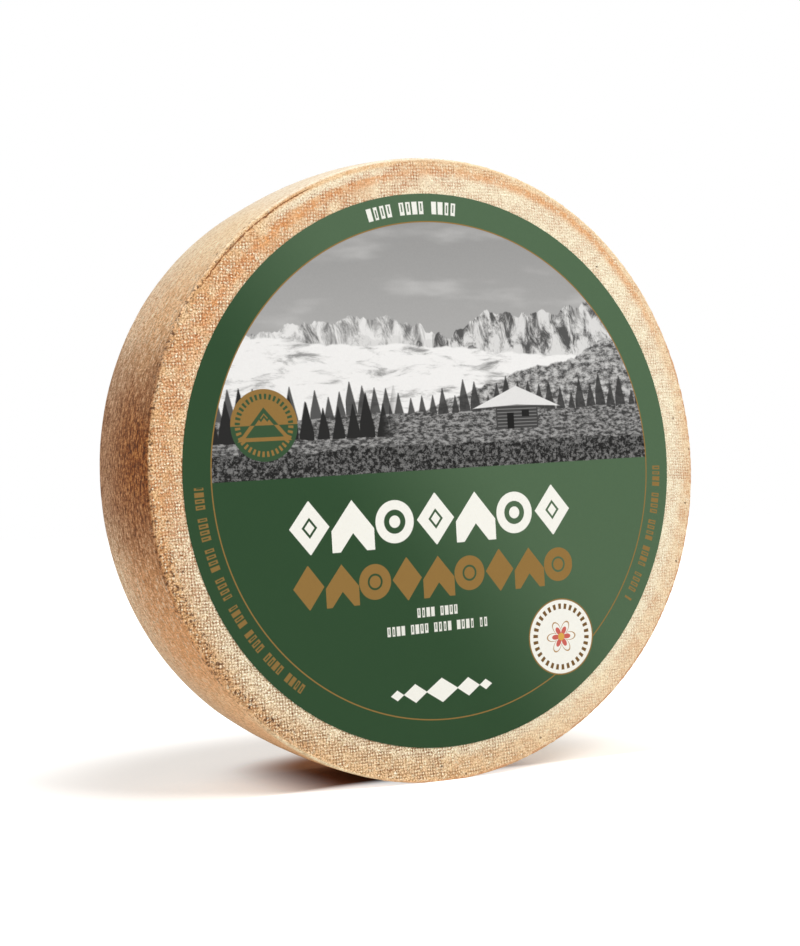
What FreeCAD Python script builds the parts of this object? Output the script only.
import FreeCAD, Part

# A whole wheel of mountain cheese, stood up on its rim, with the round paper label on its face.
# Millimetres. X runs across the wheel, Y along its axis from the labelled face to the bare one,
# and Z up. The origin is on the floor, under the middle of the wheel.

import math
import os
import sys

import Sketcher

# ---------------------------------------------------------------------------------------------
# Driving sizes. Cloth, mould and lid leave a hoop that isn't quite round. Its outline is drawn
# three times: at the labelled face (front), half way through, where the heel bulges most
# (crown), and at the bare face (back). Each outline has an oval (two swellings) and a ripple
# (four smaller ones); a turn is the angle of the first swelling, in degrees from +X towards +Z.
# The two faces are also drawn in a little from the crown, and their middles have drifted.
# ---------------------------------------------------------------------------------------------

SIZES = [
    ("wheel_radius", 155.0, "mean radius at the crown"),
    ("wheel_depth", 69.0, "from the labelled face to the bare one"),
    ("crown_oval", 0.55, ""),
    ("crown_oval_turn", 57.0, ""),
    ("crown_ripple", 0.15, ""),
    ("crown_ripple_turn", 20.0, ""),
    ("front_drawn_in", 1.1, "how much less the labelled face's mean radius is"),
    ("front_drift_x", 1.0, ""),
    ("front_drift_z", -1.2, ""),
    ("front_oval", 0.2, ""),
    ("front_oval_turn", 69.0, ""),
    ("front_ripple", 0.6, ""),
    ("front_ripple_turn", 63.0, ""),
    ("back_drawn_in", 2.0, "how much less the bare face's mean radius is"),
    ("back_drift_x", -0.4, ""),
    ("back_drift_z", 0.1, ""),
    ("back_oval", 0.6, ""),
    ("back_oval_turn", 171.0, ""),
    ("back_ripple", 0.6, ""),
    ("back_ripple_turn", 51.0, ""),
    ("front_corner", 1.0, "rounding of the corner that the mould's lid pressed"),
    ("back_corner", 4.0, "rounding of the corner that lay on the board"),
    ("foot_length", 29.0, "settled flat across the wheel where it stands"),
    ("fold_turn", 131.0, "direction in which the fold of the cloth bit deepest"),
    ("fold_spread", 17.0, "angle to each side over which that crack runs out"),
    ("fold_depth", 1.4, "depth of the crack at its deepest"),
    ("fold_mouth", 1.1, "width of the crack at its deepest"),
    ("fold_inset", 1.3, "from the edge of the labelled face to the crack"),
    ("label_margin", 17.3, "bare rind left round the label, on average"),
    ("label_right", 1.2, "from the wheel's axis to the middle of the label"),
    ("label_below", 1.6, ""),
    ("label_paper", 0.25, "thickness of the label"),
]

# How finely the rind is drawn: control points round an outline, and bands along the heel and
# round each corner.
POLES = 24
HEEL_BANDS = 6
FRONT_CORNER_BANDS = 2
BACK_CORNER_BANDS = 4

# The share of its control points' distance that a closed cubic curve reaches.
KEPT = (2 + math.cos(2 * math.pi / POLES)) / 3

MEAN_RADIUS = {
    "front": "(Sizes.wheel_radius - Sizes.front_drawn_in)",
    "crown": "Sizes.wheel_radius",
    "back": "(Sizes.wheel_radius - Sizes.back_drawn_in)",
}
DRIFTED = ("front", "back")

# Columns of the two tables of formulas, whose first row holds titles.
REACH_COLUMN = {"front": "B", "crown": "C", "back": "D"}
SHARE_COLUMN = {"front": "C", "crown": "D", "back": "E"}
FIRST_ROW = 2

RIGHT_ANGLE = 90
DOWN = 270


def stop(message):
    print("FAILED:", message)
    sys.exit(1)


def radius_at(outline, turn):
    """An outline's distance from its own middle in one direction, as an expression."""
    return (
        f"({MEAN_RADIUS[outline]}"
        f" + Sizes.{outline}_oval * cos(2 * ({turn} - Sizes.{outline}_oval_turn))"
        f" + Sizes.{outline}_ripple * cos(4 * ({turn} - Sizes.{outline}_ripple_turn)))"
    )


# The wheel's axis is as high as the crown reaches straight down, less what has settled.
SETTLED = "(Sizes.wheel_radius - sqrt(Sizes.wheel_radius ^ 2 - (Sizes.foot_length / 2) ^ 2))"
AXIS_HEIGHT = f"{radius_at('crown', DOWN)} - {SETTLED}"


# ---------------------------------------------------------------------------------------------
# The sheets: the sizes, and two tables of formulas that read them.
# ---------------------------------------------------------------------------------------------


def write_sizes(document):
    sheet = document.addObject("Spreadsheet::Sheet", "Sizes")
    for row, (name, value, meaning) in enumerate(SIZES, start=1):
        sheet.set(f"A{row}", name)
        sheet.set(f"B{row}", str(value))
        sheet.set(f"C{row}", meaning)
        sheet.setAlias(f"B{row}", name)


def write_outlines(document):
    """One row for each direction: its turn, and how far the three outlines reach there."""
    sheet = document.addObject("Spreadsheet::Sheet", "Outlines")
    sheet.set("A1", "turn")
    for outline, column in REACH_COLUMN.items():
        sheet.set(f"{column}1", outline)
    for step in range(POLES):
        row = FIRST_ROW + step
        sheet.set(f"A{row}", str(step * 360 / POLES))
        for outline, column in REACH_COLUMN.items():
            sheet.set(f"{column}{row}", "=" + radius_at(outline, f"A{row}"))


def stations():
    """Depth behind the labelled face, and how far the rounding of a corner cuts the rind back
    there: the front corner, the heel and the back corner."""
    rows = []
    for band in range(FRONT_CORNER_BANDS):
        angle = RIGHT_ANGLE * band / FRONT_CORNER_BANDS
        rows.append((f"Sizes.front_corner * (1 - cos({angle}))", f"Sizes.front_corner * (1 - sin({angle}))"))
    heel = "(Sizes.wheel_depth - Sizes.front_corner - Sizes.back_corner)"
    for band in range(HEEL_BANDS):
        rows.append((f"Sizes.front_corner + {heel} * {band} / {HEEL_BANDS}", "0"))
    for band in range(BACK_CORNER_BANDS + 1):
        angle = RIGHT_ANGLE * band / BACK_CORNER_BANDS
        depth = f"Sizes.wheel_depth - Sizes.back_corner * (1 - sin({angle}))"
        rows.append((depth, f"Sizes.back_corner * (1 - cos({angle}))"))
    return rows


def write_stations(document):
    """One row for each station: its depth, how far its corner is cut back, and its share of each
    outline. The shares are those of the one parabola through the front, the crown and the back."""
    sheet = document.addObject("Spreadsheet::Sheet", "Stations")
    for column, title in zip("ABCDEF", ("depth", "cut back", *SHARE_COLUMN, "share of the depth")):
        sheet.set(f"{column}1", title)
    for row, (depth, cut_back) in enumerate(stations(), start=FIRST_ROW):
        sheet.set(f"A{row}", "=" + depth)
        sheet.set(f"B{row}", "=" + cut_back)
        sheet.set(f"F{row}", f"=A{row} / Sizes.wheel_depth")
        sheet.set(f"C{row}", f"=(1 - F{row}) * (1 - 2 * F{row})")
        sheet.set(f"D{row}", f"=4 * F{row} * (1 - F{row})")
        sheet.set(f"E{row}", f"=F{row} * (2 * F{row} - 1)")


# ---------------------------------------------------------------------------------------------
# Helpers for bodies and sketches.
# ---------------------------------------------------------------------------------------------


def origin_plane(body, role):
    return next(plane for plane in body.Origin.OriginFeatures if plane.Role == role)


def new_body(document, label):
    """A body whose own origin is on the wheel's axis, half way between the two faces."""
    body = document.addObject("PartDesign::Body", label)
    body.Label = label
    body.setExpression("Placement.Base.z", AXIS_HEIGHT)
    return body


def new_sketch(body, name, role):
    sketch = body.newObject("Sketcher::SketchObject", name)
    sketch.AttachmentSupport = [(origin_plane(body, role), "")]
    sketch.MapMode = "FlatFace"
    return sketch


def bind_points(sketch, places):
    """Ties points of a sketch to expressions: each is an element, which of its points, where it
    is now, and the two distances from the sketch's origin that it must keep."""
    constraints = []
    expressions = []
    for element, point, now, across, up in places:
        constraints.append(Sketcher.Constraint("DistanceX", -1, 1, element, point, now.x))
        constraints.append(Sketcher.Constraint("DistanceY", -1, 1, element, point, now.y))
        expressions += [across, up]
    for index, expression in zip(sketch.addConstraint(constraints), expressions):
        sketch.setExpression(f"Constraints[{index}]", expression)


def add_polygon(sketch, corners):
    """A closed polygon with its corners at pairs of expressions, drawn first at rough places."""
    count = len(corners)
    rough = [
        FreeCAD.Vector(math.cos(2 * math.pi * number / count), math.sin(2 * math.pi * number / count), 0)
        for number in range(count)
    ]
    for number in range(count):
        sketch.addGeometry(Part.LineSegment(rough[number], rough[(number + 1) % count]), False)
    for number in range(count):
        sketch.addConstraint(Sketcher.Constraint("Coincident", number, 2, (number + 1) % count, 1))
    bind_points(sketch, [(number, 1, rough[number], *corners[number]) for number in range(count)])


# ---------------------------------------------------------------------------------------------
# The wheel: a skin drawn through the stations, a crack at the front corner, and a flat foot.
# ---------------------------------------------------------------------------------------------


def shared(row, values):
    """A station's mix of values that belong to the outlines, as an expression."""
    return " + ".join(f"Stations.{SHARE_COLUMN[outline]}{row} * {value}" for outline, value in values.items())


def add_station(body, row):
    """A closed cubic curve whose control points stand round the axis, each at its own distance."""
    sketch = new_sketch(body, f"station_{row}", "XZ_Plane")
    sketch.setExpression("AttachmentOffset.Base.z", f"Sizes.wheel_depth / 2 - Stations.A{row}")
    turns = [2 * math.pi * step / POLES for step in range(POLES)]
    poles = [FreeCAD.Vector(math.cos(turn), math.sin(turn), 0) * 150 for turn in turns]
    curve = Part.BSplineCurve()
    curve.buildFromPolesMultsKnots(poles, [1] * (POLES + 1), list(range(POLES + 1)), True, 3)
    curve_index = sketch.addGeometry(curve, False)
    first_pole = sketch.GeometryCount
    sketch.exposeInternalGeometry(curve_index)
    centre = 3
    drift_x = shared(row, {outline: f"Sizes.{outline}_drift_x" for outline in DRIFTED})
    drift_z = shared(row, {outline: f"Sizes.{outline}_drift_z" for outline in DRIFTED})
    places = []
    for step, pole in enumerate(poles):
        cell = FIRST_ROW + step
        reach = shared(row, {outline: f"Outlines.{column}{cell}" for outline, column in REACH_COLUMN.items()})
        reach = f"({reach} - Stations.B{row}) / {KEPT:.6f}"
        across = f"{drift_x} + {reach} * cos(Outlines.A{cell})"
        up = f"{drift_z} + {reach} * sin(Outlines.A{cell})"
        places.append((first_pole + step, centre, pole, across, up))
    bind_points(sketch, places)
    return sketch


def add_rind(body):
    rows = range(FIRST_ROW, FIRST_ROW + len(stations()))
    front_to_back = [add_station(body, row) for row in rows]
    rind = body.newObject("PartDesign::AdditiveLoft", "rind")
    rind.Profile = front_to_back[-1]
    rind.Sections = front_to_back[-2::-1]
    rind.Ruled = True
    return rind


def add_fold(body):
    """The crack that a fold of the cloth left just inside the front corner.

    It is a V turned round an axis that leans, so that it is deepest on one side and comes out
    of the face gradually to both ends.
    """
    sketch = new_sketch(body, "fold_section", "XY_Plane")
    turned = FreeCAD.Rotation(FreeCAD.Vector(0, 1, 0), -1)
    sketch.AttachmentOffset = FreeCAD.Placement(FreeCAD.Vector(), turned)
    sketch.setExpression("AttachmentOffset.Rotation.Angle", "-Sizes.fold_turn")
    drift = "Sizes.front_drift_x * cos(Sizes.fold_turn) + Sizes.front_drift_z * sin(Sizes.fold_turn)"
    ring = f"({radius_at('front', 'Sizes.fold_turn')} + {drift} - Sizes.fold_inset)"
    lean = f"(Sizes.fold_depth / ({ring} * (1 - cos(Sizes.fold_spread))))"
    tip = "(Sizes.fold_depth - Sizes.wheel_depth / 2)"
    above = f"{tip} - 2 * Sizes.fold_depth"
    add_polygon(
        sketch,
        [
            (ring, tip),
            (f"{ring} - Sizes.fold_mouth", above),
            (f"{ring} + Sizes.fold_mouth", above),
        ],
    )
    low = f"{tip} - {ring} * {lean}"
    ends = [FreeCAD.Vector(0, -1, 0), FreeCAD.Vector(-1, 1, 0)]
    axis = sketch.addGeometry(Part.LineSegment(*ends), True)
    places = [(axis, 1, ends[0], "0", low), (axis, 2, ends[1], f"-{ring} * {lean}", f"{low} + {ring}")]
    bind_points(sketch, places)
    fold = body.newObject("PartDesign::Groove", "fold")
    fold.Profile = sketch
    fold.ReferenceAxis = (sketch, ["Axis0"])
    fold.Angle = 360
    return fold


def add_foot(body):
    """The flat on which the wheel has settled: what would reach below the floor is gone."""
    sketch = new_sketch(body, "foot_outline", "XY_Plane")
    sketch.setExpression("AttachmentOffset.Base.z", f"-({AXIS_HEIGHT})")
    corners = [(-1, -1), (1, -1), (1, 1), (-1, 1)]
    add_polygon(
        sketch,
        [(f"{across} * Sizes.wheel_radius", f"{along} * Sizes.wheel_depth") for across, along in corners],
    )
    foot = body.newObject("PartDesign::Pocket", "foot")
    foot.Profile = sketch
    foot.Type = "ThroughAll"
    return foot


def volume(shape):
    """A solid's volume, summed over its facets, so that small cuts show in a large solid."""
    chord = 0.1
    points, triangles = shape.tessellate(chord)
    return sum(points[a].dot(points[b].cross(points[c])) for a, b, c in triangles) / 6


def make_wheel(document):
    body = new_body(document, "cheese_wheel")
    rind = add_rind(body)
    document.recompute()
    fold = add_fold(body)
    document.recompute()
    foot = add_foot(body)
    document.recompute()
    for before, after in ((rind, fold), (fold, foot)):
        cut_away = volume(before.Shape) - volume(after.Shape)
        print(f"{after.Name}: {cut_away:.1f} mm3 cut away")
        if cut_away <= 0:
            stop(f"{after.Name} cut nothing")
    return body


# ---------------------------------------------------------------------------------------------
# The label: one disc of paper, glued flat on the front face, a little low and to the right.
# ---------------------------------------------------------------------------------------------


def make_label(document):
    body = new_body(document, "label")
    sketch = new_sketch(body, "label_outline", "XZ_Plane")
    sketch.setExpression("AttachmentOffset.Base.z", "Sizes.wheel_depth / 2")
    middle = FreeCAD.Vector(1, -1, 0)
    circle = sketch.addGeometry(Part.Circle(middle, FreeCAD.Vector(0, 0, 1), 100), False)
    centre = 3
    bind_points(sketch, [(circle, centre, middle, "Sizes.label_right", "-Sizes.label_below")])
    radius = sketch.addConstraint(Sketcher.Constraint("Radius", circle, 100.0))
    sketch.setExpression(f"Constraints[{radius}]", f"{MEAN_RADIUS['front']} - Sizes.label_margin")
    disc = body.newObject("PartDesign::Pad", "paper_disc")
    disc.Profile = sketch
    disc.setExpression("Length", "Sizes.label_paper")
    return body


# ---------------------------------------------------------------------------------------------
# Build, check and write out.
# ---------------------------------------------------------------------------------------------


def check(document, bodies):
    for thing in document.Objects:
        if "Invalid" in thing.State or "Error" in thing.State:
            stop(f"{thing.Label} failed: {thing.State}")
    for body in bodies:
        shape = body.Shape
        if shape.isNull() or not shape.isValid() or len(shape.Solids) != 1:
            stop(f"{body.Label} isn't one valid solid")


def write_steps(bodies):
    os.makedirs("parts", exist_ok=True)
    for body in bodies:
        body.Shape.exportStep(f"parts/{body.Label}.step")
        print(f"{body.Label}: {body.Shape.Volume / 1e6:.4f} litres, {len(body.Shape.Faces)} faces")


document = FreeCAD.newDocument("mountain_cheese_wheel")
write_sizes(document)
write_outlines(document)
write_stations(document)
document.recompute()
bodies = [make_wheel(document), make_label(document)]
document.recompute()
check(document, bodies)
write_steps(bodies)
